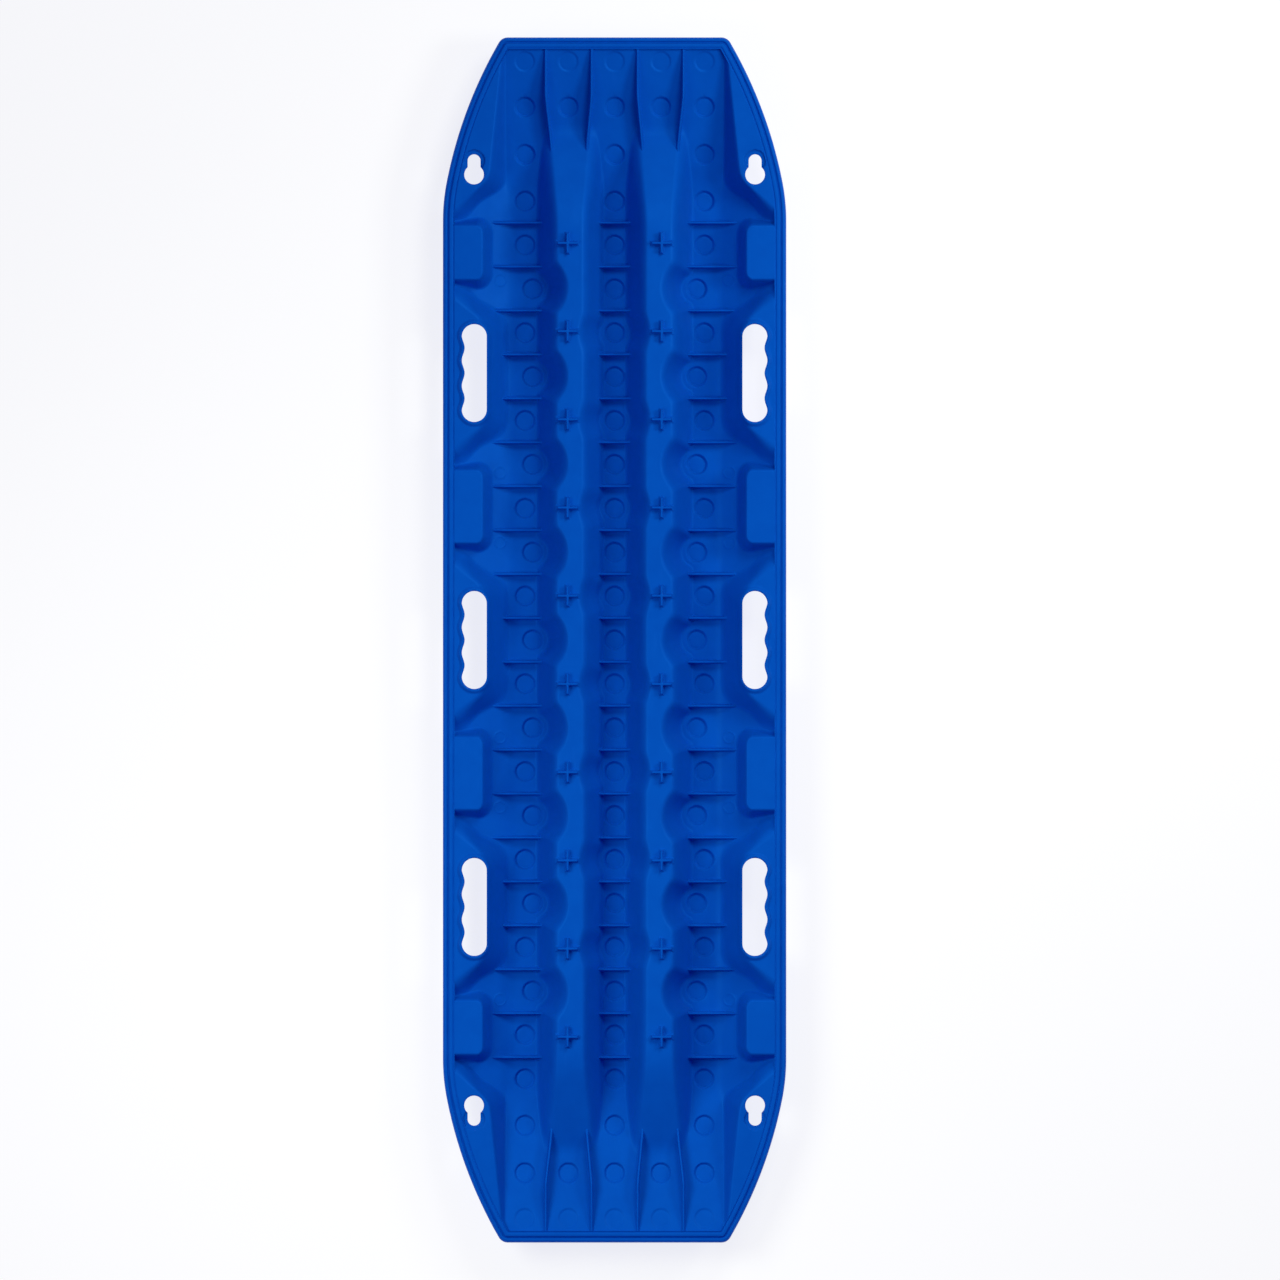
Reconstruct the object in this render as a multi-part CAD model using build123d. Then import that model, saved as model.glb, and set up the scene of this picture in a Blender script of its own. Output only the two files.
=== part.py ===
"""Rigid tyre traction board, lying on its studs with its ribbed ground side up.

The real board is one injection moulding.  Each of its working regions is a closed solid here,
and the regions meet face to face, so the shell can be read, checked and reused piece by piece.
The board is the same about both of its middle lines: one side or one end is worked out, then
mirrored.  Millimetres, +Z up, origin on the floor under the middle of the board, length along Y.
"""
import os
from math import asin, degrees, radians, sin

from build123d import *

# Whole board
LENGTH = 1067.0
WIDTH = 304.0
HEIGHT = 60.0

# Levels above the floor
STUD_HEIGHT = 8.0
SKIN = 4.0
CLEAT_HEIGHT = 6.0
RIM_DROP = 4.0
TRAY_STEP = 10.0
RAMP_STEP = 3.0
TYRE_FACE = STUD_HEIGHT
FLOOR = TYRE_FACE + SKIN
RIDGE_TOP = HEIGHT - CLEAT_HEIGHT
RIM_TOP = RIDGE_TOP - RIM_DROP
TRAY_TOP = RIM_TOP - TRAY_STEP
RAMP_TOP = RIM_TOP - RAMP_STEP
PLATE = 5.0

# Outline: straight sides, two arcs that taper each end, and a small corner arc
TAPER_RADII = (180.0, 400.0)
TAPER_TURNS = (11.0, 19.0)
CORNER_RADIUS = 9.0

# Rim: a flat band with a lower lip along its edge, a skirt under the lip and a web under its inner edge
RIM_WIDTH = 10.4
LIP_WIDTH = 4.0
LIP_DROP = 1.5
SKIRT_WIDTH = 3.0
SKIRT_DEPTH = 12.0
WEB_WIDTH = 3.0

# Cross section, measured out from the middle line
RIDGE_INNER = 25.7
RIDGE_OUTER = 53.1
TRAY_CREASE = 92.7
WALL_LEAN = 0.357
HANDLE_LEAN = 0.466
KEYHOLE_LEAN = 0.42

# Rows of studs
PITCH = 39.0
ROWS = 10
CENTRE_BULGE_ROWS = (1, 3, 5, 7)
SIDE_BULGE_ROWS = (0, 2, 4, 6, 8)
SIDE_PLAIN_ROWS = (1, 3, 5, 7, 9, 10)
CLEAT_ROWS = (1, 3, 5, 7, 9)
SIDE_COLUMN = 79.6
BULGE_COLUMN = 73.0
BULGE_RADIUS = 14.8
BULGE_LEAN = 0.35
STUD_TIP_RADIUS = 7.5
STUD_BASE_RADIUS = 11.5
RECESS_RADIUS = 8.7
RECESS_FOOT_RADIUS = 7.3
RECESS_DEPTH = 3.0

# End ramps
RAMP_START = 402.0
RIDGE_SLOPE_START = 376.0
RIDGE_SLOPE_END = 452.7
RAMP_ROWS = (431.0, 472.6, 512.4)
RAMP_INNER_COLUMN = 41.0
RAMP_STUD_HEIGHT = 5.0
RAMP_STUD_RADII = (6.0, 9.0)
RAMP_RECESS_DEPTH = 2.0

# Thin ribs, fins and cleats
RIB_THICKNESS = 2.0
RIB_HEIGHT = 9.5
FIN_THICKNESS = 2.2
FIN_TOP_DROP = 1.0
FIN_LOW_HEIGHT = 6.0
FIN_STRAIGHT_START = 481.0
FIN_LEAN_START = 430.0
FIN_STATIONS = ((20.4, 24.8), (61.0, 55.8))
CLEAT_COLUMN = 41.6
CLEAT_SPAN = 18.0
CLEAT_ARM = 2.6

# Handles, pads and keyholes
HANDLE_CENTRES = {"front": 236.3, "middle": 0.0, "rear": -236.3}
HANDLE_EDGE = 112.4
HANDLE_HALF_LENGTHS = (44.2, 69.0)
HAND_HOLE_COLUMN = 124.2
HAND_HOLE_LENGTH = 86.7
HAND_HOLE_WIDTH = 22.1
FINGER_PITCH = 22.4
FINGER_BUMP_RADIUS = 9.0
FINGER_BUMP_DEPTH = 2.5
HOLE_LIP_WIDTH = 2.2
HOLE_LIP_HEIGHT = 1.0
PAD_EDGE = 116.4
PAD_CORNER_RADIUS = 6.0
PAD_LEAN = 0.3
LARGE_PAD = (118.1, 32.7)
SMALL_PAD = (343.0, 24.3)
KEYHOLE_CORNERS = ((140.7, 380.6), (110.6, 408.9), (100.0, 510.6))
KEYHOLE_COLUMN = 124.4
KEYHOLE_ENTRY = (412.0, 8.7)
KEYHOLE_SLOT = (424.3, 5.7)

HALF_LENGTH = LENGTH / 2
HALF_WIDTH = WIDTH / 2
BAND_EDGE = HALF_WIDTH - RIM_WIDTH
RAMP_END = HALF_LENGTH - RIM_WIDTH
RAMP_SLOPE = (RAMP_TOP - FLOOR) / (RAMP_END - RAMP_START)
TRAY_SLOPE = (TRAY_TOP - FLOOR) / (BAND_EDGE - TRAY_CREASE)
BEYOND = 200.0  # reach of the half spaces that trim the pieces
OVERRUN = 40.0  # how far a piece runs on before it is trimmed
ENDS = {"front": 1, "rear": -1}


def mirror_x(shape):
    """The same shape on the other side of the board."""
    return mirror(shape, about=Plane.YZ)


def mirror_y(shape):
    """The same shape at the other end of the board."""
    return mirror(shape, about=Plane.XZ)


def both_ends(shape):
    """The shape and its mirror image at the other end."""
    return shape + mirror_y(shape)


def along_y(points, start, end):
    """A prism with a constant (x, z) section between two stations along the board."""
    section = make_face(Polyline(*[(x, start, z) for x, z in points], close=True))
    return extrude(section, amount=end - start, dir=(0, 1, 0))


def along_x(points, start, end):
    """A prism with a constant (y, z) section between two stations across the board."""
    section = make_face(Polyline(*[(start, y, z) for y, z in points], close=True))
    return extrude(section, amount=end - start, dir=(1, 0, 0))


def upright(sketch, bottom, top):
    """A flat shape raised straight up between two levels."""
    return extrude(Pos(0, 0, bottom) * sketch, amount=top - bottom)


def block(x_range, y_range, z_range):
    """A box given by its lowest and highest corners."""
    sizes = [high - low for low, high in (x_range, y_range, z_range)]
    middle = [(high + low) / 2 for low, high in (x_range, y_range, z_range)]
    return Pos(*middle) * Box(*sizes)


def grown(sketch, amount):
    """A flat shape with every side moved out, keeping its sharp corners."""
    return offset(sketch, amount=amount, kind=Kind.INTERSECTION)


def taper_length():
    """How much of each end the two taper arcs and the corner arc take up."""
    first, both = radians(TAPER_TURNS[0]), radians(sum(TAPER_TURNS))
    arcs = TAPER_RADII[0] * sin(first) + TAPER_RADII[1] * (sin(both) - sin(first))
    return arcs + CORNER_RADIUS * (1 - sin(both))


STRAIGHT_END = HALF_LENGTH - taper_length()


def board_outline(inset=0.0):
    """The board's plan moved in by inset, with sharp corners once the corner arc is used up."""
    end_station = HALF_LENGTH - inset
    side = Line((HALF_WIDTH - inset, 0), (HALF_WIDTH - inset, STRAIGHT_END))
    first = JernArc(side @ 1, (0, 1), TAPER_RADII[0] - inset, TAPER_TURNS[0])
    second_radius = TAPER_RADII[1] - inset
    if inset < CORNER_RADIUS:
        second = JernArc(first @ 1, first % 1, second_radius, TAPER_TURNS[1])
        corner = JernArc(second @ 1, second % 1, CORNER_RADIUS - inset, 90 - sum(TAPER_TURNS))
        taper = first + second + corner
    else:
        climb = (end_station - (first @ 1).Y) / second_radius
        turn = degrees(asin(sin(radians(TAPER_TURNS[0])) + climb)) - TAPER_TURNS[0]
        taper = first + JernArc(first @ 1, first % 1, second_radius, turn)
    half = side + taper + Line(taper @ 1, (0, end_station))
    half += mirror(half, about=Plane.YZ)
    return make_face(half + mirror(half, about=Plane.XZ))


def lean_block(top_outline, top, bottom, lean, thinner=0.0):
    """A block whose walls lean out on the way down from its outline at rim level."""
    upper = Pos(0, 0, top) * grown(top_outline, lean * (RIM_TOP - top) - thinner)
    lower = Pos(0, 0, bottom) * grown(top_outline, lean * (RIM_TOP - bottom) - thinner)
    return loft([upper.face(), lower.face()], ruled=True)


def box_section(top_outline, lean):
    """A raised box of the deck: the whole block, and the hollow under it on the tyre side."""
    whole = lean_block(top_outline, RIM_TOP, TYRE_FACE, lean)
    hollow = lean_block(top_outline, RIM_TOP - PLATE, TYRE_FACE, lean, SKIN)
    return whole, hollow


def side_clip():
    """Everything on the right of the middle line and inboard of the rim band."""
    return block((0, BAND_EDGE), (-LENGTH, LENGTH), (0, HEIGHT))


# ---------------------------------------------------------------- surfaces shared by the pieces
def ramp_rise(station):
    """Height of the ramp's ground face above the channel floor at a station along the board."""
    return (station - RAMP_START) * RAMP_SLOPE


def under_ramp(drop):
    """The space below the front ramp's ground face, lowered by drop."""
    end_level = FLOOR + ramp_rise(RAMP_END + BEYOND) - drop
    points = [
        (RAMP_START, FLOOR - drop),
        (RAMP_END + BEYOND, end_level),
        (RAMP_END + BEYOND, -BEYOND),
        (RAMP_START, -BEYOND),
    ]
    return along_x(points, -BEYOND, BEYOND)


def under_tray(drop):
    """The space below the right tray's sloping ground face, lowered by drop."""
    end_level = TRAY_TOP + TRAY_SLOPE * BEYOND - drop
    points = [
        (TRAY_CREASE, FLOOR - drop),
        (BAND_EDGE + BEYOND, end_level),
        (BAND_EDGE + BEYOND, -BEYOND),
        (TRAY_CREASE, -BEYOND),
    ]
    return along_y(points, -RAMP_START, RAMP_START)


def over_ridge_slope(lift):
    """The space above the ridge's sloping front end, raised by lift."""
    foot_level = FLOOR + ramp_rise(RIDGE_SLOPE_END)
    fall = (RIDGE_TOP - foot_level) / (RIDGE_SLOPE_END - RIDGE_SLOPE_START)
    points = [
        (RIDGE_SLOPE_START, RIDGE_TOP + lift),
        (RIDGE_SLOPE_END + OVERRUN, foot_level + lift - fall * OVERRUN),
        (RIDGE_SLOPE_END + OVERRUN, RIDGE_TOP + BEYOND),
        (RIDGE_SLOPE_START, RIDGE_TOP + BEYOND),
    ]
    return along_x(points, -BEYOND, BEYOND)


# ---------------------------------------------------------------- ridges, floor, trays and ramps
def rows(numbers):
    """Stations of the numbered stud rows at both ends of the board, counted from its middle."""
    return sorted({sign * number * PITCH for number in numbers for sign in (-1, 1)})


def bulge_cones(column, stations, thicker=0.0):
    """The drafted round spaces where a channel swells around its studs."""
    foot = BULGE_RADIUS - BULGE_LEAN * SKIN + thicker
    rim = BULGE_RADIUS + BULGE_LEAN * (RIDGE_TOP - FLOOR) + thicker
    cone = Cone(foot, rim, RIDGE_TOP - TYRE_FACE)
    return [Pos(column, station, (RIDGE_TOP + TYRE_FACE) / 2) * cone for station in stations]


def ridge_block(thinner, top):
    """The right ridge as a whole block, or its hollow when it is made thinner."""
    def edges(level):
        spread = WALL_LEAN * (RIDGE_TOP - level) - thinner
        return RIDGE_INNER - spread, RIDGE_OUTER + spread

    top_edges = edges(top)
    foot_edges = edges(TYRE_FACE)
    section = [(foot_edges[0], TYRE_FACE), (foot_edges[1], TYRE_FACE)]
    section += [(top_edges[1], top), (top_edges[0], top)]
    solid = along_y(section, -RIDGE_SLOPE_END - OVERRUN, RIDGE_SLOPE_END + OVERRUN)
    solid -= bulge_cones(0, rows(CENTRE_BULGE_ROWS), thinner)
    solid -= bulge_cones(BULGE_COLUMN, rows(SIDE_BULGE_ROWS), thinner)
    return solid


def ridge_outside():
    """Everything that the right ridge takes up, with its sloping ends."""
    return ridge_block(0.0, RIDGE_TOP) - both_ends(over_ridge_slope(0.0))


def ridge(outside):
    """The right ridge: an upside-down U with sloping ends, open to the tyre side."""
    hollow = ridge_block(SKIN, RIDGE_TOP - SKIN) - both_ends(over_ridge_slope(-SKIN))
    return outside - hollow - both_ends(under_ramp(SKIN))


def recesses(column, stations):
    """The shallow round hollows behind the studs."""
    level = FLOOR - RECESS_DEPTH / 2
    pocket = Cone(RECESS_FOOT_RADIUS, RECESS_RADIUS, RECESS_DEPTH)
    return [Pos(column, station, level) * pocket for station in stations]


def centre_floor(ridges):
    """The floor of the centre channel."""
    edge = RIDGE_INNER - SKIN
    floor = block((-edge, edge), (-RAMP_START, RAMP_START), (TYRE_FACE, FLOOR))
    return floor - ridges - recesses(0, rows(range(ROWS + 1)))


def tray(ridge_outer, boxes):
    """The right side channel: its floor and the slope that climbs towards the rim."""
    inner = RIDGE_OUTER - SKIN
    section = [(inner, TYRE_FACE), (inner, FLOOR), (TRAY_CREASE, FLOOR), (BAND_EDGE, TRAY_TOP)]
    section += [(BAND_EDGE, TRAY_TOP - SKIN), (TRAY_CREASE, TYRE_FACE)]
    shape = along_y(section, -RAMP_START, RAMP_START) - ridge_outer
    shape -= boxes
    shape -= recesses(SIDE_COLUMN, rows(SIDE_PLAIN_ROWS))
    shape -= recesses(BULGE_COLUMN, rows(SIDE_BULGE_ROWS))
    return shape & upright(board_outline(RIM_WIDTH), 0, HEIGHT)


def ramp_columns(station):
    """Columns of studs across the ramp at a row."""
    outer = (-SIDE_COLUMN, 0.0, SIDE_COLUMN)
    if station == RAMP_ROWS[0]:
        return outer
    return outer + (-RAMP_INNER_COLUMN, RAMP_INNER_COLUMN)


def ramp_places(depth):
    """Locations square to the front ramp, at a depth below its ground face."""
    normal = (0, -RAMP_SLOPE, 1)
    places = []
    for station in RAMP_ROWS:
        for column in ramp_columns(station):
            point = (column, station, FLOOR + ramp_rise(station) - depth)
            places.append(Plane(origin=point, x_dir=(1, 0, 0), z_dir=normal).location)
    return places


def front_ramp(ridges, boxes):
    """The front ramp: a sloping plate between the keyhole plates, from the floor up to the rim."""
    points = [(RAMP_START, TYRE_FACE), (RAMP_START, FLOOR), (RAMP_END, RAMP_TOP)]
    points += [(RAMP_END, RAMP_TOP - SKIN)]
    pocket = Cone(RECESS_FOOT_RADIUS, RECESS_RADIUS, RAMP_RECESS_DEPTH)
    pockets = [place * Pos(0, 0, -RAMP_RECESS_DEPTH / 2) * pocket for place in ramp_places(0.0)]
    plate = along_x(points, -BAND_EDGE, BAND_EDGE) & upright(board_outline(RIM_WIDTH), 0, HEIGHT)
    return plate - ridges - boxes - pockets


# ---------------------------------------------------------------- boxes: handles, pads, keyholes
def hand_hole(extra=0.0):
    """The plan of a hand hole: a long slot with three small bumps between the fingers."""
    width = HAND_HOLE_WIDTH + 2 * extra
    length = HAND_HOLE_LENGTH + 2 * extra
    slot = Rot(0, 0, 90) * SlotOverall(length, width)
    edge = width / 2 + FINGER_BUMP_RADIUS - FINGER_BUMP_DEPTH
    bump = Circle(FINGER_BUMP_RADIUS)
    for number in (-1, 0, 1):
        slot -= Pos(edge, number * FINGER_PITCH) * bump
    return Pos(HAND_HOLE_COLUMN, 0) * slot


def handle_box():
    """A handle, which is longer towards the rim, about its own middle."""
    short, long = HANDLE_HALF_LENGTHS
    outer = BAND_EDGE
    points = [(HANDLE_EDGE, -short), (outer, -long), (outer + OVERRUN, -long)]
    points += [(outer + OVERRUN, long), (outer, long), (HANDLE_EDGE, short)]
    return box_section(Polygon(*points, align=None), HANDLE_LEAN)


def handle(whole, hollow, below):
    """A right-hand handle: its plate with the hand hole, and the walls down to the tray."""
    shape = (whole - hollow - below) & side_clip()
    lip = upright(hand_hole(HOLE_LIP_WIDTH), RIM_TOP, RIM_TOP + HOLE_LIP_HEIGHT) & side_clip()
    return shape + lip - upright(hand_hole(), 0, HEIGHT)


def pad_box(half_length):
    """A pad with rounded corners, about its own middle."""
    width = BAND_EDGE + OVERRUN - PAD_EDGE
    plan = Pos(PAD_EDGE + width / 2, 0) * RectangleRounded(width, 2 * half_length, PAD_CORNER_RADIUS)
    return box_section(plan, PAD_LEAN)


def keyhole_box():
    """The front right keyhole plate, which runs on past the rim."""
    first, second, third = KEYHOLE_CORNERS
    outer = BEYOND
    points = [(outer, first[1]), first, second, third, (third[0], HALF_LENGTH + OVERRUN)]
    points += [(outer, HALF_LENGTH + OVERRUN)]
    return box_section(Polygon(*points, align=None), KEYHOLE_LEAN)


def keyhole():
    """A keyhole: a round entry that runs into a narrower slot towards the board's end."""
    (entry_station, entry_radius), (slot_station, slot_radius) = KEYHOLE_ENTRY, KEYHOLE_SLOT
    shape = Pos(KEYHOLE_COLUMN, entry_station) * Circle(entry_radius)
    shape += Pos(KEYHOLE_COLUMN, slot_station) * Circle(slot_radius)
    neck = Rectangle(2 * slot_radius, slot_station - entry_station)
    shape += Pos(KEYHOLE_COLUMN, (entry_station + slot_station) / 2) * neck
    return upright(shape, 0, HEIGHT)


def keyhole_plate(whole, hollow, below):
    """The front right keyhole plate and its walls."""
    inside = upright(board_outline(RIM_WIDTH), 0, HEIGHT)
    return ((whole - hollow - below) & inside) - keyhole()


# ---------------------------------------------------------------- rim
def rim_side():
    """The right rim: a flat band, a lower lip outside it, a skirt under the lip and an inner web."""
    band, lip, skirt = (HALF_WIDTH - width for width in (RIM_WIDTH, LIP_WIDTH, SKIRT_WIDTH))
    web = band + WEB_WIDTH
    lip_top, under, foot = RIM_TOP - LIP_DROP, RIM_TOP - PLATE, RIM_TOP - SKIRT_DEPTH
    web_foot = TRAY_TOP - SKIN
    section = [(band, web_foot), (band, RIM_TOP), (lip, RIM_TOP), (lip, lip_top)]
    section += [(HALF_WIDTH, lip_top), (HALF_WIDTH, foot), (skirt, foot), (skirt, under)]
    section += [(web, under), (web, web_foot)]
    return along_y(section, -STRAIGHT_END, STRAIGHT_END)


def rim_end():
    """The front rim, with the same section as the sides, round the tapered end."""
    end = block((-BEYOND, BEYOND), (STRAIGHT_END, LENGTH), (0, HEIGHT))
    under, foot = RIM_TOP - PLATE, RIM_TOP - SKIRT_DEPTH
    ring = upright(board_outline(), foot, RIM_TOP - LIP_DROP)
    ring += upright(board_outline(LIP_WIDTH), under, RIM_TOP)
    ring -= upright(board_outline(SKIRT_WIDTH), 0, under)
    ring += upright(board_outline(RIM_WIDTH - WEB_WIDTH), TRAY_TOP - SKIN, under)
    ring -= upright(board_outline(RIM_WIDTH), 0, HEIGHT)
    return ring & end


# ---------------------------------------------------------------- ribs, fins, cleats and studs
def cross_ribs(half_width, column, solids):
    """Low ribs across a channel, half a pitch from the studs, cut to the channel's own walls."""
    stations = [sign * (number + 0.5) * PITCH for number in range(ROWS) for sign in (-1, 1)]
    ribs = Part()
    for station in sorted(stations):
        ends = (column - half_width, column + half_width)
        across = (station - RIB_THICKNESS / 2, station + RIB_THICKNESS / 2)
        ribs += block(ends, across, (FLOOR, FLOOR + RIB_HEIGHT))
    return ribs - solids


def front_fins(ridges):
    """The thin upright fins of the front ramp, straight by the rim and leaning to the ridges."""
    top = RIM_TOP - FIN_TOP_DROP
    foot_level = FLOOR + ramp_rise(RIDGE_SLOPE_END)
    fins = Part()
    for straight, leaning in FIN_STATIONS:
        path = [(straight, RAMP_END), (straight, FIN_STRAIGHT_START), (leaning, FIN_LEAN_START)]
        inner = [(x - FIN_THICKNESS / 2, y) for x, y in path]
        outer = [(x + FIN_THICKNESS / 2, y) for x, y in reversed(path)]
        fin = upright(Polygon(*inner, *outer, align=None), TYRE_FACE, top)
        fins += [fin, mirror_x(fin)]
    over = [(FIN_STRAIGHT_START, top), (FIN_LEAN_START, foot_level + FIN_LOW_HEIGHT)]
    over += [(FIN_LEAN_START - OVERRUN, top + OVERRUN), (FIN_STRAIGHT_START, top + OVERRUN)]
    return fins - ridges - under_ramp(0.0) - along_x(over, -BEYOND, BEYOND)


def cleats():
    """The plus-shaped cleats along the right ridge."""
    level = RIDGE_TOP + CLEAT_HEIGHT / 2
    cross = Box(CLEAT_SPAN, CLEAT_ARM, CLEAT_HEIGHT) + Box(CLEAT_ARM, CLEAT_SPAN, CLEAT_HEIGHT)
    return Part() + [Pos(CLEAT_COLUMN, station, level) * cross for station in rows(CLEAT_ROWS)]


def studs(column, stations):
    """Tapered studs under a channel floor, standing on the board's lowest level."""
    stud = Cone(STUD_TIP_RADIUS, STUD_BASE_RADIUS, STUD_HEIGHT)
    return Part() + [Pos(column, station, STUD_HEIGHT / 2) * stud for station in stations]


def front_ramp_studs():
    """Smaller studs, square to the tyre face of the front ramp."""
    tip, base = RAMP_STUD_RADII
    stud = Cone(tip, base, RAMP_STUD_HEIGHT)
    skin_square = SKIN / (1 + RAMP_SLOPE**2) ** 0.5
    drop = skin_square + RAMP_STUD_HEIGHT / 2
    return Part() + [place * Pos(0, 0, -drop) * stud for place in ramp_places(0.0)]


# ---------------------------------------------------------------- the board
def build_nodes():
    """Every piece of the board by its name."""
    right_outside = ridge_outside()
    ridges = right_outside + mirror_x(right_outside)
    below = under_tray(SKIN) + both_ends(under_ramp(SKIN))

    handle_whole, handle_hollow = handle_box()
    right_boxes = []
    nodes = {}
    for place, station in HANDLE_CENTRES.items():
        at = Pos(0, station, 0)
        shape = at * handle(handle_whole, handle_hollow, at.inverse() * below)
        nodes[f"handle_right_{place}"] = shape
        right_boxes.append(at * handle_whole)
    for size, (station, half_length) in {"large": LARGE_PAD, "small": SMALL_PAD}.items():
        whole, hollow = pad_box(half_length)
        for end, sign in ENDS.items():
            at = Pos(0, sign * station, 0)
            nodes[f"{size}_pad_right_{end}"] = ((at * (whole - hollow)) - below) & side_clip()
            right_boxes.append(at * whole)
    keyhole_whole, keyhole_hollow = keyhole_box()
    front_plate = keyhole_plate(keyhole_whole, keyhole_hollow, below)
    nodes["keyhole_plate_right_front"] = front_plate
    nodes["keyhole_plate_right_rear"] = mirror_y(front_plate)
    right_boxes += [keyhole_whole, mirror_y(keyhole_whole)]

    nodes["ridge_right"] = ridge(right_outside)
    nodes["side_channel_right"] = tray(right_outside, right_boxes)
    plain_studs = studs(SIDE_COLUMN, rows(SIDE_PLAIN_ROWS))
    nodes["studs_right"] = plain_studs + studs(BULGE_COLUMN, rows(SIDE_BULGE_ROWS))
    nodes["cleats_right"] = cleats()
    tray_ground = under_tray(0.0)
    middle = (RIDGE_OUTER + BAND_EDGE) / 2
    rib_cutters = [right_outside, tray_ground] + right_boxes
    nodes["cross_ribs_right"] = cross_ribs((BAND_EDGE - RIDGE_OUTER) / 2, middle, rib_cutters)
    for name in list(nodes):
        nodes[name.replace("right", "left")] = mirror_x(nodes[name])

    nodes["centre_channel"] = centre_floor(ridges)
    nodes["cross_ribs_centre"] = cross_ribs(RIDGE_INNER, 0, [ridges])
    nodes["studs_centre"] = studs(0, rows(range(ROWS + 1)))

    front_boxes = [keyhole_whole, mirror_x(keyhole_whole)]
    nodes["ramp_front"] = front_ramp(ridges, front_boxes)
    nodes["ramp_fins_front"] = front_fins(ridges)
    nodes["ramp_studs_front"] = front_ramp_studs()
    for name in [name for name in nodes if name.startswith("ramp")]:
        nodes[name.replace("front", "rear")] = mirror_y(nodes[name])

    nodes["rim_right"] = rim_side()
    nodes["rim_left"] = mirror_x(nodes["rim_right"])
    nodes["rim_front"] = rim_end()
    nodes["rim_rear"] = mirror_y(nodes["rim_front"])
    return nodes


os.makedirs("parts", exist_ok=True)
for name, shape in build_nodes().items():
    export_step(shape, f"parts/{name}.step")
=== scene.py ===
"""Rigid blue tyre traction board, lying on its studs with the ribbed ground side up.

The board is one injection moulding, so its skins are all cut from two shared surfaces: ground_face,
which is seen from above, and tyre_face, which is seen from below.  Each skin is a closed mesh
between the two, and neighbouring skins meet along shared seams.  The thin webs, cleats, studs and
rim are closed meshes of their own.  Shape work is in millimetres; meshes are written in metres.
"""
from math import asin, ceil, cos, pi, radians, sin, sqrt

import bmesh
import bpy
import numpy as np
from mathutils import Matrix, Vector
from mathutils.geometry import delaunay_2d_cdt


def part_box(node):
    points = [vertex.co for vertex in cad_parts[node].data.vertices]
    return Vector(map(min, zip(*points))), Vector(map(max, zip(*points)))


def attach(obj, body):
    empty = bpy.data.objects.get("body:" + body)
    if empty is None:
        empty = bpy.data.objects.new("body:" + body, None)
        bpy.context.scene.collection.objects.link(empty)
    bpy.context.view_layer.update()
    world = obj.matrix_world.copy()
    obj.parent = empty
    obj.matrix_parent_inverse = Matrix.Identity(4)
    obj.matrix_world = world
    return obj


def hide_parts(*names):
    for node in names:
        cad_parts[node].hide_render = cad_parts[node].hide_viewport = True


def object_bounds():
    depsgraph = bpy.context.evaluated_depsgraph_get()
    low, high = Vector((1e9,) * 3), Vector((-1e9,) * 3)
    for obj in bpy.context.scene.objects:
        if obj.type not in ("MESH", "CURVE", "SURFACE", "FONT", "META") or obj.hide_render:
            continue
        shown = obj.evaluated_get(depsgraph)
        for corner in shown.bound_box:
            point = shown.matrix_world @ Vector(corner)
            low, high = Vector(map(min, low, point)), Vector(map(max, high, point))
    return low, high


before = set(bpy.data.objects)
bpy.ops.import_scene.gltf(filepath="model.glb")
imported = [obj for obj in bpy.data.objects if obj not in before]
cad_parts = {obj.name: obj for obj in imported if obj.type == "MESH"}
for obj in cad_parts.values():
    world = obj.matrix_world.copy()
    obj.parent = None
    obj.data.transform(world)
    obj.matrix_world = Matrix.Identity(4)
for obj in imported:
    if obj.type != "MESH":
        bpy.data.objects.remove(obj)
CAD_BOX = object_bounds()

MM = 0.001


def node_span(node, axis):
    """Lowest and highest value of a CAD node along an axis, in millimetres."""
    low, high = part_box(node)
    return low[axis] / MM, high[axis] / MM


# ---- sizes
HALF_WIDTH = CAD_BOX[1][0] / MM
HALF_LENGTH = CAD_BOX[1][1] / MM
RIDGE_TOP = node_span("ridge_right", 2)[1]
RIM_TOP = node_span("rim_right", 2)[1]
TYRE_LEVEL = node_span("centre_channel", 2)[0]
FLOOR = node_span("centre_channel", 2)[1]
RAMP_START = node_span("centre_channel", 1)[1]
RAMP_END = node_span("ramp_front", 1)[1]
BAND_EDGE = node_span("rim_right", 0)[0]
STRAIGHT_END = node_span("rim_right", 1)[1]
SKIN = FLOOR - TYRE_LEVEL
PLATE = 5.0

# Cross section
RIDGE_INNER = 25.7
RIDGE_OUTER = 53.1
TRAY_CREASE = 92.7
TRAY_TOP = node_span("side_channel_right", 2)[1]
RAMP_TOP = node_span("ramp_front", 2)[1]
TRAY_RISE = (TRAY_TOP - FLOOR) / (BAND_EDGE - TRAY_CREASE)
RAMP_RISE = (RAMP_TOP - FLOOR) / (RAMP_END - RAMP_START)
TRAY_THICKENING = 1.25

# Leans of the walls, as millimetres across for each millimetre down
RIDGE_LEAN = 0.357
SWELL_LEAN = 0.35
HANDLE_LEAN = 0.45
PAD_LEAN = 0.25
PAD_END_LEAN = 0.31
KEYHOLE_LEAN = 0.37
RIM_LEAN_GAIN = 0.30
RIM_LEAN_SPAN = (118.0, 138.0)

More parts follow.
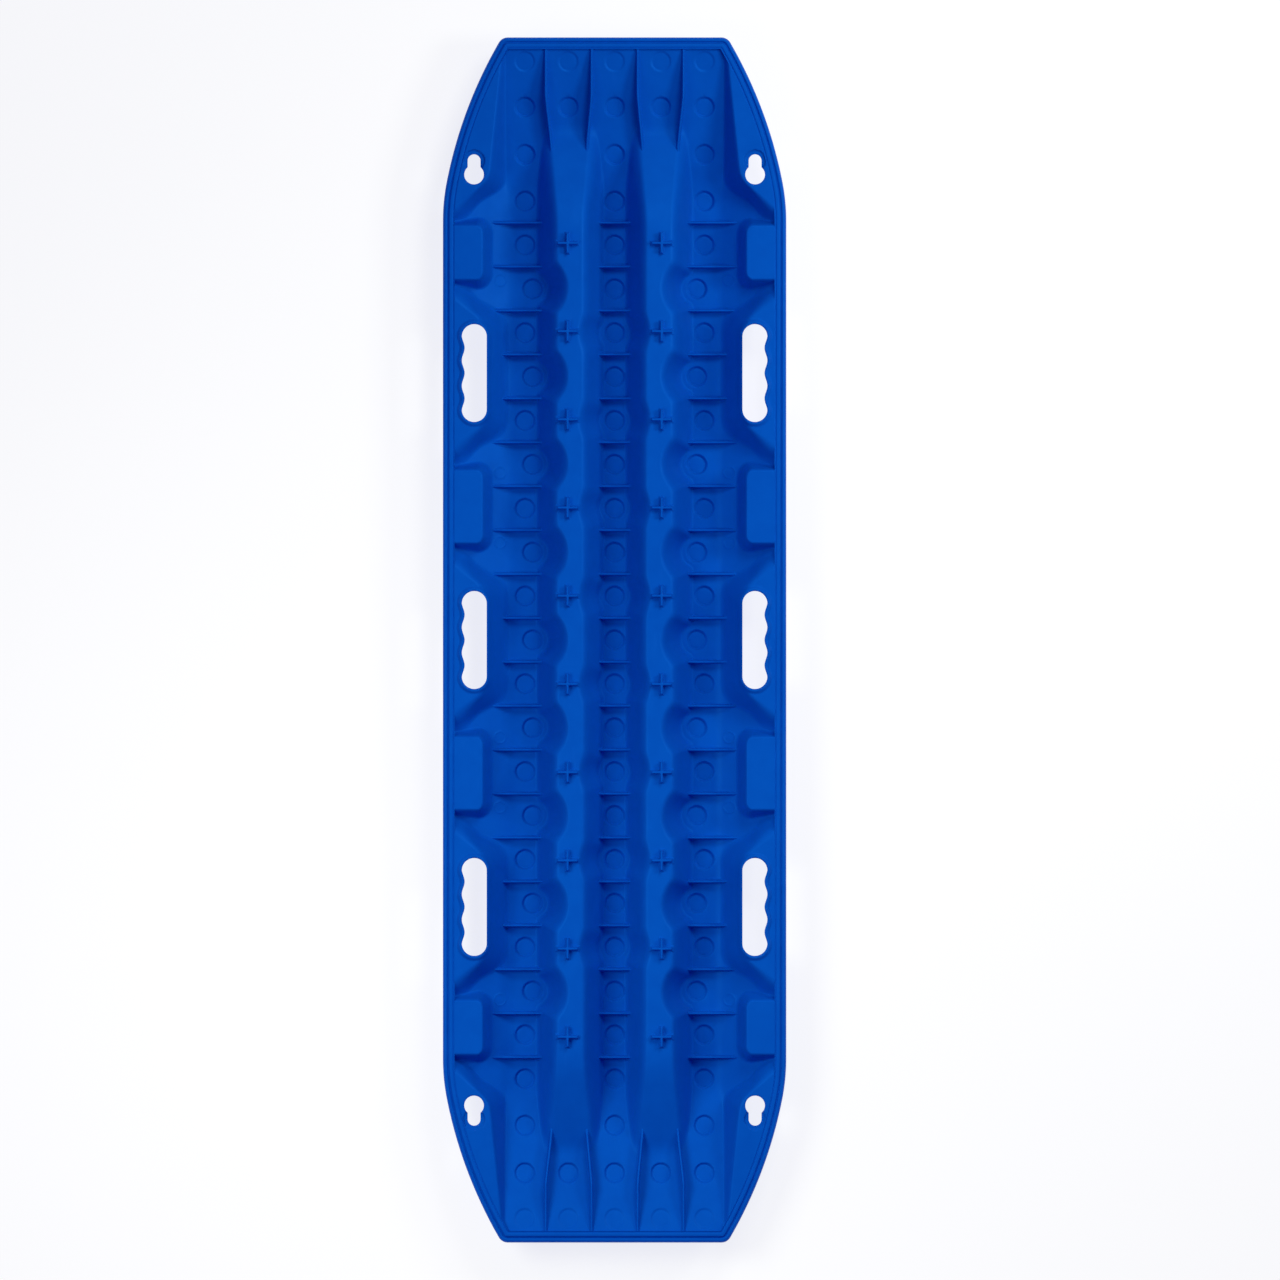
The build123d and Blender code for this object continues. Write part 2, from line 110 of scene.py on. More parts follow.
# Sizes of the rounded edges (crowns) and of the fillets at the walls' feet; pairs give both ends
FLOOR_FILLET = 3.0
RIDGE_CROWN = 4.0
RIDGE_END_CROWN = 6.0
RIDGE_ROUNDING = (11.0, 18.0)
RIDGE_FILLET = (6.0, 4.5)
SWELL_BLEND = 8.0
HANDLE_CROWN = 6.0
HANDLE_CORNER = 11.0
PAD_CROWN = 5.0
KEYHOLE_CROWN = 4.5
KEYHOLE_CORNER = 6.0
BLOCK_FILLET = 5.0
KEYHOLE_FILLET = 4.0

# Rows of studs; a row's columns are given for the right half
PITCH = 39.0
ROWS = 10
SIDE_COLUMN = 79.6
SWELL_COLUMN = 73.0
SWELL_RADIUS = 14.8
RAMP_ROWS = (431.0, 472.6, 512.4)
RAMP_INNER_COLUMN = 41.0
FULL_ROW = (0.0, SIDE_COLUMN, RAMP_INNER_COLUMN)
RAMP_COLUMNS = (FULL_ROW[:2], FULL_ROW, FULL_ROW)

# Ends of the ridges, where their edges grow rounder and their feet sharper
RIDGE_SLOPE_START = 376.0
RIDGE_SLOPE_END = 452.7
RIDGE_ROUNDING_START = RIDGE_SLOPE_START - 10.0
RIDGE_FILLET_START = RIDGE_SLOPE_START + 20.0
RIDGE_FOOT = FLOOR + (RIDGE_SLOPE_END - RAMP_START) * RAMP_RISE
RIDGE_FALL = (RIDGE_TOP - RIDGE_FOOT) / (RIDGE_SLOPE_END - RIDGE_SLOPE_START)

# Handles, pads and keyholes
HANDLE_STATIONS = {"front": 236.3, "middle": 0.0, "rear": -236.3}
HANDLE_EDGE = 112.4
HANDLE_HALF = (44.2, 69.0)
HAND_HOLE_COLUMN = 124.2
HAND_HOLE_LENGTH = 86.7
HAND_HOLE_WIDTH = 22.1
FINGER_PITCH = 22.4
FINGER_BUMP = 2.5
PAD_EDGE = 116.4
PAD_CORNER = 6.0
PAD_REACH = 40.0
PADS = {"large": (118.1, 32.7), "small": (343.0, 24.3)}
KEYHOLE_CORNERS = ((140.7, 380.6), (110.6, 408.9), (100.0, 510.6))
KEYHOLE_COLUMN = 124.4
KEYHOLE_ENTRY = (412.0, 8.7)
KEYHOLE_SLOT = (424.3, 5.7)
KEYHOLE_NECK = 1.5

# Outline of the board
TAPER_RADII = (180.0, 400.0)
TAPER_TURNS = (radians(11.0), radians(19.0))
CORNER_RADIUS = 9.0


# ---- blends
def soft_min(a, b, size):
    """The lower of two heights, rounded over where they are within size of each other."""
    near = np.clip(size - np.abs(a - b), 0.0, None) / size
    return np.minimum(a, b) - near * near * size / 4


def soft_max(a, b, size):
    """The higher of two heights, with a fillet where they are within size of each other."""
    near = np.clip(size - np.abs(a - b), 0.0, None) / size
    return np.maximum(a, b) + near * near * size / 4


def ease(value, start, end):
    """A smooth step from 0 at start to 1 at end."""
    t = np.clip((value - start) / (end - start), 0.0, 1.0)
    return t * t * (3 - 2 * t)


def fade(distance, full, gone):
    """A smooth step from 1 at the full distance to 0 at the gone one."""
    return ease(-distance, -gone, -full)


def bell(distance, place, width):
    """A narrow bell-shaped rise of height 1 about a place."""
    return np.exp(-((distance - place) / width) ** 2)


# ---- stud rows
def row_stations(first, step, last):
    """Stations of every chosen row, in the front half of the board."""
    return [number * PITCH for number in range(first, last + 1, step)]


# Rows whose recess swells its channel into the ridge, and the side rows that stay plain
CENTRE_SWELLS = row_stations(1, 2, 7)
SIDE_SWELLS = row_stations(0, 2, 8)
SIDE_PLAIN = row_stations(1, 2, ROWS) + [ROWS * PITCH]

# Round recesses of the ground side as (column, station, depth)
CHANNEL_DEPTH = 2.8
RAMP_DEPTHS = (2.6, 2.5, 0.9)
RECESSES = [(0.0, y, CHANNEL_DEPTH) for y in row_stations(0, 1, ROWS)]
RECESSES += [(SIDE_COLUMN, y, CHANNEL_DEPTH) for y in SIDE_PLAIN]
RECESSES += [(SWELL_COLUMN, y, CHANNEL_DEPTH) for y in SIDE_SWELLS]
for row, columns, row_depth in zip(RAMP_ROWS, RAMP_COLUMNS, RAMP_DEPTHS):
    RECESSES += [(x, row, row_depth) for x in columns]
RECESS_FOOT = 7.1
RECESS_EDGE = 9.6
RECESS_GROOVE = {"place": 7.8, "width": 1.1}
RECESS_GROOVE_SHARE = 0.14

# Small raised rings left by the mould's ejectors, as (column, station)
MOULD_MARKS = ((101.8, 148.7), (101.8, 86.7), (101.8, 319.5))
MOULD_MARK = {"place": 5.0, "width": 0.6}
MOULD_MARK_HEIGHT = 0.4

# Edges of the holes: a raised lip round each hand hole, a sunk ring round each keyhole's slot
HAND_HOLE_LIP = {"full": 1.4, "gone": 4.8}
HAND_HOLE_LIP_HEIGHT = 2.3
HOLE_ROUNDING = {"full": 0.0, "gone": 0.9}
HAND_HOLE_ROUNDING_DEPTH = 1.2
KEYHOLE_ROUNDING_DEPTH = 0.7
SLOT_RING = {"full": 8.7, "gone": 10.0}
SLOT_RING_DEPTH = 2.2


# ---- the two faces of the moulding
def box_distance(x, y, half_x, half_y, corner):
    """Distance outside a rectangle with rounded corners, about the origin."""
    qx = np.abs(x) - (half_x - corner)
    qy = np.abs(y) - (half_y - corner)
    outside = np.hypot(np.clip(qx, 0, None), np.clip(qy, 0, None))
    return outside + np.minimum(np.maximum(qx, qy), 0.0) - corner


def edge_distance(x, y, start, end):
    """Distance to the left of a directed line through two points."""
    along = np.array(end, float) - np.array(start, float)
    along /= np.hypot(*along)
    return (x - start[0]) * -along[1] + (y - start[1]) * along[0]


def handle_distance(x, y):
    """Distance outside a handle's flat plate, about its own middle."""
    short, long = HANDLE_HALF
    slanted = edge_distance(x, np.abs(y), (HANDLE_EDGE, short), (BAND_EDGE, long))
    return soft_max(HANDLE_EDGE - x, slanted, HANDLE_CORNER)


def pad_distance(x, y, half_length):
    """Distance outside a pad's flat top, about its own middle; its ends lean more than its side."""
    squeeze = PAD_LEAN / PAD_END_LEAN
    dx = x - PAD_EDGE - PAD_REACH
    return box_distance(dx, y * squeeze, PAD_REACH, half_length * squeeze, PAD_CORNER)


def keyhole_plate_distance(x, y):
    """Distance outside a keyhole plate's flat top."""
    first, second, third = KEYHOLE_CORNERS
    slanted = edge_distance(x, y, second, first)
    straight = edge_distance(x, y, third, second)
    return soft_max(-slanted, -straight, KEYHOLE_CORNER)


def raised(distance, lean, thin, crown):
    """A raised block of the deck: flat on top, then falling away at its walls' lean."""
    top = RIM_TOP - (PLATE if thin else 0.0)
    wall = RIM_TOP - (distance + thin) / lean
    return soft_min(np.full_like(distance, top), wall, crown)


def lean_by_rim(lean, x):
    """The lean of a wall, which grows towards the rim."""
    return lean + RIM_LEAN_GAIN * ease(x, *RIM_LEAN_SPAN)


def ridge_height(x, y, thin):
    """The ridge: two leaning walls, hollowed round the recesses, and the sloping end."""
    top = np.full_like(x, RIDGE_TOP - thin)
    inner = RIDGE_TOP - (RIDGE_INNER + thin - x) / RIDGE_LEAN
    outer = RIDGE_TOP - (x - RIDGE_OUTER + thin) / RIDGE_LEAN
    for station in CENTRE_SWELLS:
        inner = soft_min(inner, swell_height(x, y - station, thin), SWELL_BLEND)
    for station in SIDE_SWELLS:
        outer = soft_min(outer, swell_height(x - SWELL_COLUMN, y - station, thin), SWELL_BLEND)
    slope = RIDGE_TOP - thin - (y - RIDGE_SLOPE_START) * RIDGE_FALL
    along = soft_min(top, slope, RIDGE_END_CROWN)
    start, end = RIDGE_ROUNDING
    rounding = start + (end - start) * ease(y, RIDGE_ROUNDING_START, RIDGE_SLOPE_END)
    return soft_min(soft_min(inner, outer, RIDGE_CROWN), along, rounding)


def swell_height(dx, dy, thin):
    """The round hollow that a stud's recess cuts into the ridge's wall."""
    return FLOOR + (np.hypot(dx, dy) - SWELL_RADIUS - thin) / SWELL_LEAN


def deck(x, y, thin):
    """Height of the moulding's ground face, or of its tyre face where thin is the skin."""
    x, y = np.abs(x), np.abs(y)
    floor = np.full_like(x, FLOOR - thin)
    tray = FLOOR - thin * TRAY_THICKENING + (x - TRAY_CREASE) * TRAY_RISE
    ramp = FLOOR - thin + (y - RAMP_START) * RAMP_RISE
    base = soft_max(soft_max(floor, tray, FLOOR_FILLET), ramp, FLOOR_FILLET)
    start, end = RIDGE_FILLET
    fillet = start + (end - start) * ease(y, RIDGE_FILLET_START, RIDGE_SLOPE_END)
    height = soft_max(base, ridge_height(x, y, thin), fillet)
    for station in (0.0, HANDLE_STATIONS["front"]):
        handle = raised(handle_distance(x, y - station), lean_by_rim(HANDLE_LEAN, x), thin, HANDLE_CROWN)
        height = soft_max(height, handle, BLOCK_FILLET)
    for station, half_length in PADS.values():
        pad = raised(pad_distance(x, y - station, half_length), PAD_LEAN, thin, PAD_CROWN)
        height = soft_max(height, pad, BLOCK_FILLET)
    plate = raised(keyhole_plate_distance(x, y), lean_by_rim(KEYHOLE_LEAN, x), thin, KEYHOLE_CROWN)
    return soft_max(height, plate, KEYHOLE_FILLET)


def hand_hole_distance(x, y):
    """Distance outside the nearest hand hole, whose outer side has bumps between the fingers."""
    x, y = np.abs(x), np.abs(y)
    station = HANDLE_STATIONS["front"]
    y = np.where(y > station / 2, y - station, y)
    radius = HAND_HOLE_WIDTH / 2
    half = HAND_HOLE_LENGTH / 2 - radius
    dx = x - HAND_HOLE_COLUMN
    round_slot = np.hypot(dx, np.clip(np.abs(y) - half, 0, None)) - radius
    return round_slot + finger_bump(y) * ease(dx, 0.0, radius)


def finger_bump(y):
    """How far the outer side of a hand hole bulges into it."""
    wave = 0.5 + 0.5 * np.cos(2 * pi * y / FINGER_PITCH)
    return FINGER_BUMP * wave * (np.abs(y) < 1.5 * FINGER_PITCH)


def keyhole_distance(x, y):
    """Distance outside the nearest keyhole."""
    dx, y = np.abs(np.abs(x) - KEYHOLE_COLUMN), np.abs(y)
    (entry, entry_radius), (slot, slot_radius) = KEYHOLE_ENTRY, KEYHOLE_SLOT
    round_entry = np.hypot(dx, y - entry) - entry_radius
    along = np.clip(y, entry, slot)
    narrow_slot = np.hypot(dx, y - along) - slot_radius
    return soft_min(round_entry, narrow_slot, KEYHOLE_NECK)


def ground_face(x, y):
    """Height of the ribbed ground side, with its recesses, mould marks and the edges of its holes."""
    height = deck(x, y, 0.0)
    ax, ay = np.abs(x), np.abs(y)
    for column, station, depth in RECESSES:
        away = np.hypot(ax - column, ay - station)
        groove = RECESS_GROOVE_SHARE * bell(away, **RECESS_GROOVE)
        height = height - depth * (fade(away, RECESS_FOOT, RECESS_EDGE) + groove)
    for column, station in MOULD_MARKS:
        away = np.hypot(ax - column, ay - station)
        height = height + MOULD_MARK_HEIGHT * bell(away, **MOULD_MARK)
    hole = hand_hole_distance(x, y)
    height = height + HAND_HOLE_LIP_HEIGHT * fade(hole, **HAND_HOLE_LIP)
    height = height - HAND_HOLE_ROUNDING_DEPTH * fade(hole, **HOLE_ROUNDING)
    slot = np.hypot(ax - KEYHOLE_COLUMN, ay - KEYHOLE_SLOT[0])
    height = height - SLOT_RING_DEPTH * fade(slot, **SLOT_RING)
    return height - KEYHOLE_ROUNDING_DEPTH * fade(keyhole_distance(x, y), **HOLE_ROUNDING)


def tyre_face(x, y):
    """Height of the tyre side's skin, on which the studs stand."""
    return deck(x, y, SKIN)


# ---- meshes
def surface_normals(face, x, y, up):
    """Unit normals of a height surface."""
    step = 0.05
    dx = (face(x + step, y) - face(x - step, y)) / (2 * step)
    dy = (face(x, y + step) - face(x, y - step)) / (2 * step)
    normals = np.stack([-dx, -dy, np.ones_like(dx)], 1)
    normals /= np.linalg.norm(normals, axis=1)[:, None]
    return normals if up else -normals


def polygon_normals(points, faces):
    """One unit normal for each face."""
    a, b, c = (points[faces[:, i]] for i in range(3))
    normals = np.cross(b - a, c - a)
    return normals / np.maximum(np.linalg.norm(normals, axis=1), 1e-12)[:, None]


def add_mesh(name, points, faces, corner_normals=None):
    """A Blender object from arrays of points in millimetres and equal-sided faces."""
    mesh = bpy.data.meshes.new(name)
    count, sides = faces.shape
    mesh.vertices.add(len(points))
    mesh.vertices.foreach_set("co", (points * MM).astype(np.float32).ravel())
    mesh.loops.add(count * sides)
    mesh.loops.foreach_set("vertex_index", faces.astype(np.int32).ravel())
    mesh.polygons.add(count)
    mesh.polygons.foreach_set("loop_start", np.arange(0, count * sides, sides, dtype=np.int32))
    mesh.update(calc_edges=True)
    mesh.validate()
    mesh.polygons.foreach_set("use_smooth", np.ones(len(mesh.polygons), bool))
    if corner_normals is not None and len(mesh.loops) == count * sides:
        mesh.normals_split_custom_set(corner_normals.reshape(-1, 3).tolist())
    piece = bpy.data.objects.new(name, mesh)
    bpy.context.scene.collection.objects.link(piece)
    return piece


def inside(points, loop):
    """Which points lie inside a closed loop."""
    x, y = points[:, 0], points[:, 1]
    result = np.zeros(len(points), bool)
    ends = np.roll(loop, -1, axis=0)
    for (x0, y0), (x1, y1) in zip(loop, ends):
        if y0 == y1:
            continue
        crosses = (y0 > y) != (y1 > y)
        result ^= crosses & (x < (x1 - x0) * (y - y0) / (y1 - y0) + x0)
    return result


COARSE_CELL = 4.0
FINE_CELL = 1.0
BEND_TOLERANCE = 0.05
TYRE_SIDE_WEIGHT = 0.35
CLEAR_OF_SEAM = 0.45


def refined_points(low, high):
    """Grid points over a rectangle, closer together where either face bends."""
    columns = np.arange(ceil((high[0] - low[0]) / COARSE_CELL)) * COARSE_CELL + low[0]
    lines = np.arange(ceil((high[1] - low[1]) / COARSE_CELL)) * COARSE_CELL + low[1]
    cells = np.stack(np.meshgrid(columns, lines), -1).reshape(-1, 2)
    size = COARSE_CELL
    kept = []
    while len(cells):
        x, y = cells[:, 0], cells[:, 1]
        bend = np.zeros(len(cells))
        for face in (ground_face, tyre_face):
            a, b = face(x, y), face(x + size, y)
            c, d = face(x, y + size), face(x + size, y + size)
            checks = [(0.5, 0.5, (a + b + c + d) / 4), (0.5, 0.0, (a + b) / 2), (0.0, 0.5, (a + c) / 2)]
            checks += [(1.0, 0.5, (b + d) / 2), (0.5, 1.0, (c + d) / 2)]
            weight = 1.0 if face is ground_face else TYRE_SIDE_WEIGHT
            for u, v, flat in checks:
                error = np.abs(face(x + u * size, y + v * size) - flat) * weight
                bend = np.maximum(bend, error)
        split = (bend > BEND_TOLERANCE) & (size > FINE_CELL * 1.01)
        leaf = cells[~split]
        for u, v in ((0, 0), (1, 0), (0, 1), (1, 1)):
            kept.append(leaf + np.array([u, v]) * size)
        size /= 2
        parents = cells[split]
        cells = np.concatenate([parents + np.array([u, v]) * size for u in (0, 1) for v in (0, 1)])
    return np.unique(np.round(np.concatenate(kept), 4), axis=0)


def thinned(points, loops, gap):
    """Points that keep clear of the loops' own points."""
    near = {}
    for x, y in np.concatenate(loops):
        i, j = int(x // gap), int(y // gap)
        for cell in [(i + di, j + dj) for di in (-1, 0, 1) for dj in (-1, 0, 1)]:
            near.setdefault(cell, []).append((x, y))
    keep = []
    for (x, y), cell in zip(points, np.floor(points / gap).astype(int).tolist()):
        close = [(x - px) ** 2 + (y - py) ** 2 < gap * gap for px, py in near.get(tuple(cell), ())]
        keep.append(not any(close))
    return points[np.array(keep)]


def within(points, loops):
    """Which points lie inside the first loop and outside the others."""
    result = inside(points, loops[0])
    for hole in loops[1:]:
        result &= ~inside(points, hole)
    return result


def plan_triangles(loops):
    """Flat points and triangles that fill the first loop round the others, all turned one way."""
    inner = refined_points(loops[0].min(0), loops[0].max(0))
    inner = thinned(inner[within(inner, loops)], loops, CLEAR_OF_SEAM)
    edges, start = [], 0
    for loop in loops:
        edges += [(start + i, start + (i + 1) % len(loop)) for i in range(len(loop))]
        start += len(loop)
    plan = np.concatenate(loops + [inner])
    result = delaunay_2d_cdt([Vector(p) for p in plan], edges, [], 1, 1e-5)
    flat = np.array([tuple(p) for p in result[0]])
    triangles = np.array(result[2])
    triangles = triangles[within(flat[triangles].mean(1), loops)]
    used, triangles = np.unique(triangles, return_inverse=True)
    triangles = triangles.reshape(-1, 3)
    flat = flat[used]
    a, b, c = (flat[triangles[:, i]] for i in range(3))
    ab, ac = b - a, c - a
    turned = ab[:, 0] * ac[:, 1] - ab[:, 1] * ac[:, 0] < 0
    triangles[turned] = triangles[turned][:, ::-1]
    return flat, triangles


def skin_arrays(outer, holes=()):
    """Points, triangles and corner normals of a closed skin between the two faces."""
    flat, triangles = plan_triangles([np.asarray(loop, float) for loop in (outer, *holes)])
    count = len(flat)
    x, y = flat[:, 0], flat[:, 1]
    points = np.concatenate([np.stack([x, y, face(x, y)], 1) for face in (ground_face, tyre_face)])
    upper, lower = surface_normals(ground_face, x, y, True), surface_normals(tyre_face, x, y, False)
    pairs = np.concatenate([triangles[:, [0, 1]], triangles[:, [1, 2]], triangles[:, [2, 0]]])
    known = {(a, b) for a, b in pairs.tolist()}
    rim = np.array([(a, b) for a, b in pairs.tolist() if (b, a) not in known])
    under = triangles[:, ::-1] + count
    wall_one = np.stack([rim[:, 1], rim[:, 0], rim[:, 0] + count], 1)
    wall_two = np.stack([rim[:, 1], rim[:, 0] + count, rim[:, 1] + count], 1)
    walls = np.concatenate([wall_one, wall_two])
    faces = np.concatenate([triangles, under, walls])
    wall_normals = np.repeat(polygon_normals(points, walls)[:, None], 3, axis=1)
    normals = np.concatenate([upper[triangles], lower[triangles[:, ::-1]], wall_normals])
    return points, faces, normals


def mirrored(arrays, axis):
    """The same mesh, with its corner normals if it has them, mirrored across a middle line of the board."""
    points, faces, *normals = (array.copy() for array in arrays)
    points[:, axis] *= -1
    for corners in normals:
        corners[:, :, axis] *= -1
    return points, faces[:, ::-1], *(corners[:, ::-1] for corners in normals)


def moved(arrays, shift):
    """The same skin moved along the board."""
    points, faces, normals = arrays
    return points + np.array([0.0, shift, 0.0]), faces, normals


def finish_piece(piece, *nodes):
    """Dress a piece and let it stand for its CAD nodes."""
    piece.data.materials.append(PLASTIC)
    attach(piece, "root")
    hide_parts(*nodes)
    return piece


def add_skin(node, arrays):
    """A skin piece that stands for one CAD node."""
    return finish_piece(add_mesh(f"{node}_skin", *arrays), node)


# ---- seams
SEAM_STEP = 1.0


def line(start, end):
    """Points along a straight line, without its last one."""
    start, end = np.array(start, float), np.array(end, float)
    count = max(1, round(float(np.hypot(*(end - start))) / SEAM_STEP))
    return [tuple(start + (end - start) * i / count) for i in range(count)]


def path(*corners):
    """Points along a chain of straight lines, without the last corner."""
    points = []
    for start, end in zip(corners, corners[1:]):
        points += line(start, end)
    return points


CENTRE_SEAM = 9.5
OUTER_SEAM = 69.0
SEAM_RADIUS = 12.0


def outer_seam():
    """Seam between the right ridge and its side channel, bent round the recesses near it."""
    points = []
    stations = np.linspace(-RAMP_START, RAMP_START, round(2 * RAMP_START) + 1)
    for y in stations:
        x = OUTER_SEAM
        for station in SIDE_SWELLS:
            away = abs(abs(y) - station)
            if away < SEAM_RADIUS:
                x = min(x, SWELL_COLUMN - sqrt(SEAM_RADIUS ** 2 - away ** 2))
        points.append((x, float(y)))
    return points


RIDGE_TIP = RIDGE_SLOPE_END + 3.0
RIDGE_TIP_SPAN = (15.5, 63.5)
RAMP_SEAM = (92.5, 91.0)


def ridge_loop():
    """Plan of the right ridge's skin."""
    inner, outer = RIDGE_TIP_SPAN
    loop = path((inner, -RIDGE_TIP), (outer, -RIDGE_TIP), (OUTER_SEAM, -RAMP_START))
    loop += outer_seam()[:-1]
    loop += path((OUTER_SEAM, RAMP_START), (outer, RIDGE_TIP), (inner, RIDGE_TIP))
    loop += path((inner, RIDGE_TIP), (CENTRE_SEAM, RAMP_START), (CENTRE_SEAM, -RAMP_START))
    return loop + path((CENTRE_SEAM, -RAMP_START), (inner, -RIDGE_TIP))


def centre_loop():
    """Plan of the centre channel's skin."""
    x, y = CENTRE_SEAM, RAMP_START
    return path((-x, -y), (x, -y), (x, y), (-x, y), (-x, -y))


HANDLE_SEAM = ((93.0, 52.0), (100.0, 56.5), (120.0, 64.0), (BAND_EDGE, 72.0))


def handle_seam(station):
    """Seam round a handle, from the rim at its lower end to the rim at its upper end."""
    lower = [(x, station - y) for x, y in reversed(HANDLE_SEAM)]
    upper = [(x, station + y) for x, y in HANDLE_SEAM]
    return path(*lower, *upper)


PAD_SEAM_COLUMN = 104.5
PAD_SEAM_NEAR = 11.5
PAD_SEAM_RIM = 3.0


def pad_seam(station, half_length):
    """Seam round a pad, from the rim at its lower end to the rim at its upper end."""
    near, rim = half_length + PAD_SEAM_NEAR, half_length + PAD_SEAM_RIM
    corners = [(BAND_EDGE, station - rim), (PAD_SEAM_COLUMN, station - near)]
    corners += [(PAD_SEAM_COLUMN, station + near), (BAND_EDGE, station + rim)]
    return path(*corners)


KEYHOLE_SEAM = ((BAND_EDGE, 374.0), (109.0, 382.0), (RAMP_SEAM[0], 399.0), (RAMP_SEAM[0], RAMP_START))


def side_channel_loop():
    """Plan of the right side channel's skin, cut round the handles, pads and keyhole plates."""
    loop = outer_seam()[:-1]
    loop += path((OUTER_SEAM, RAMP_START), *reversed(KEYHOLE_SEAM))
    blocks = [(station, handle_seam(station)) for station in HANDLE_STATIONS.values()]
    for station, half_length in PADS.values():
        blocks += [(sign * station, pad_seam(sign * station, half_length)) for sign in (-1, 1)]
    here = (BAND_EDGE, KEYHOLE_SEAM[0][1])
    for station, seam in sorted(blocks, reverse=True):
        seam = list(reversed(seam + [(BAND_EDGE, 2 * station - seam[0][1])]))
        loop += line(here, seam[0])
        loop += seam[:-1]
        here = seam[-1]
    lower = [(x, -y) for x, y in KEYHOLE_SEAM]
    loop += path(here, *lower)
    return loop + path(lower[-1], (OUTER_SEAM, -RAMP_START))


def hand_hole_loop():
    """Edge of the middle hand hole on the right."""
    radius = HAND_HOLE_WIDTH / 2
    half = HAND_HOLE_LENGTH / 2 - radius
    points = []
    for y in np.linspace(-half, half, 90)[:-1]:
        edge = radius - float(finger_bump(np.array(y)))
        points.append((HAND_HOLE_COLUMN + edge, y))
    for angle in np.linspace(0, pi, 36)[:-1]:
        points.append((HAND_HOLE_COLUMN + radius * cos(angle), half + radius * sin(angle)))
    points += line((HAND_HOLE_COLUMN - radius, half), (HAND_HOLE_COLUMN - radius, -half))
    for angle in np.linspace(pi, 2 * pi, 36)[:-1]:
        points.append((HAND_HOLE_COLUMN + radius * cos(angle), -half + radius * sin(angle)))
    return points


def keyhole_loop():
    """Edge of the front right keyhole."""
    (entry, entry_radius), (slot, slot_radius) = KEYHOLE_ENTRY, KEYHOLE_SLOT
    meet = asin(slot_radius / entry_radius)
    points = []
    for angle in np.linspace(pi / 2 + meet, 2 * pi + pi / 2 - meet, 48):
        points.append((KEYHOLE_COLUMN + entry_radius * cos(angle), entry + entry_radius * sin(angle)))
    for angle in np.linspace(0, pi, 24):
        points.append((KEYHOLE_COLUMN + slot_radius * cos(angle), slot + slot_radius * sin(angle)))
    return points


# ---- outline of the board
ARC_STEP = 2.0
LEAST_STEP = 0.3
STRAIGHT = 1e9  # the arc radius given for a straight stretch


def outline_frames():
    """Points, outward angles and arc radii of the edge, from the right side to the middle of the end."""
    frames = []
    point = np.array([HALF_WIDTH, STRAIGHT_END])
    turned = 0.0
    arcs = list(zip(TAPER_RADII, TAPER_TURNS)) + [(CORNER_RADIUS, pi / 2 - sum(TAPER_TURNS))]
    for radius, turn in arcs:
        centre = point - radius * np.array([cos(turned), sin(turned)])
        count = max(6, round(radius * turn / ARC_STEP))
        for i in range(count):
            angle = turned + turn * i / count
            frames.append((centre + radius * np.array([cos(angle), sin(angle)]), angle, radius))
        turned += turn
        point = centre + radius * np.array([cos(turned), sin(turned)])
    for x in np.linspace(point[0], 0.0, 30):
        frames.append((np.array([x, HALF_LENGTH]), pi / 2, STRAIGHT))
    return frames


def inset_points(frames, inset):
    """The outline moved in; past the corner's radius its points gather in one sharp inner corner."""
    points = []
    limit = HALF_LENGTH - inset
    radius = TAPER_RADII[1] - inset
    first = TAPER_TURNS[0]
    knee = STRAIGHT_END + (TAPER_RADII[0] - inset) * sin(first)
    corner_angle = asin(sin(first) + (limit - knee) / radius)
    knee_x = HALF_WIDTH - inset - (TAPER_RADII[0] - inset) * (1 - cos(first))
    corner = np.array([knee_x - radius * (cos(first) - cos(corner_angle)), limit])
    for point, angle, arc in frames:
        place = point - inset * np.array([cos(angle), sin(angle)])
        beyond_arc = inset > CORNER_RADIUS and (place[1] > limit or arc == CORNER_RADIUS)
        at_end = inset > CORNER_RADIUS and angle == pi / 2 and place[0] > corner[0]
        points.append(corner if beyond_arc or at_end else place)
    return np.array(points)


def inner_outline():
    """The rim's inner edge, at the front right, from the straight side to the middle of the end."""
    points = inset_points(outline_frames(), HALF_WIDTH - BAND_EDGE)
    keep = [points[0]]
    for point in points[1:]:
        if np.hypot(*(point - keep[-1])) > LEAST_STEP:
            keep.append(point)
    return np.array(keep)


def keyhole_plate_loop():
    """Plan of the front right keyhole plate's skin."""
    edge = inner_outline()
    corner = int(np.argmax(edge[:, 1] >= RAMP_END - 1e-6))
    loop = path((RAMP_SEAM[1], RAMP_END), (RAMP_SEAM[0], RAMP_START))
    loop += path(*reversed(KEYHOLE_SEAM))
    loop.append(KEYHOLE_SEAM[0])
    start = int(np.argmax(edge[:, 1] > KEYHOLE_SEAM[0][1] + 0.5))
    loop += [tuple(p) for p in edge[start:corner + 1]]
    return loop + path(tuple(edge[corner]), (RAMP_SEAM[1], RAMP_END))[1:]


def ramp_loop():
    """Plan of the front ramp's skin, between the keyhole plates and round the ridge tips."""
    near, far = RAMP_SEAM
    inner, outer = RIDGE_TIP_SPAN
    right = [(CENTRE_SEAM, RAMP_START), (inner, RIDGE_TIP), (outer, RIDGE_TIP), (OUTER_SEAM, RAMP_START)]
    right += [(near, RAMP_START), (far, RAMP_END)]
    left = [(-x, y) for x, y in reversed(right)]
    return path(*left, *right, left[0])


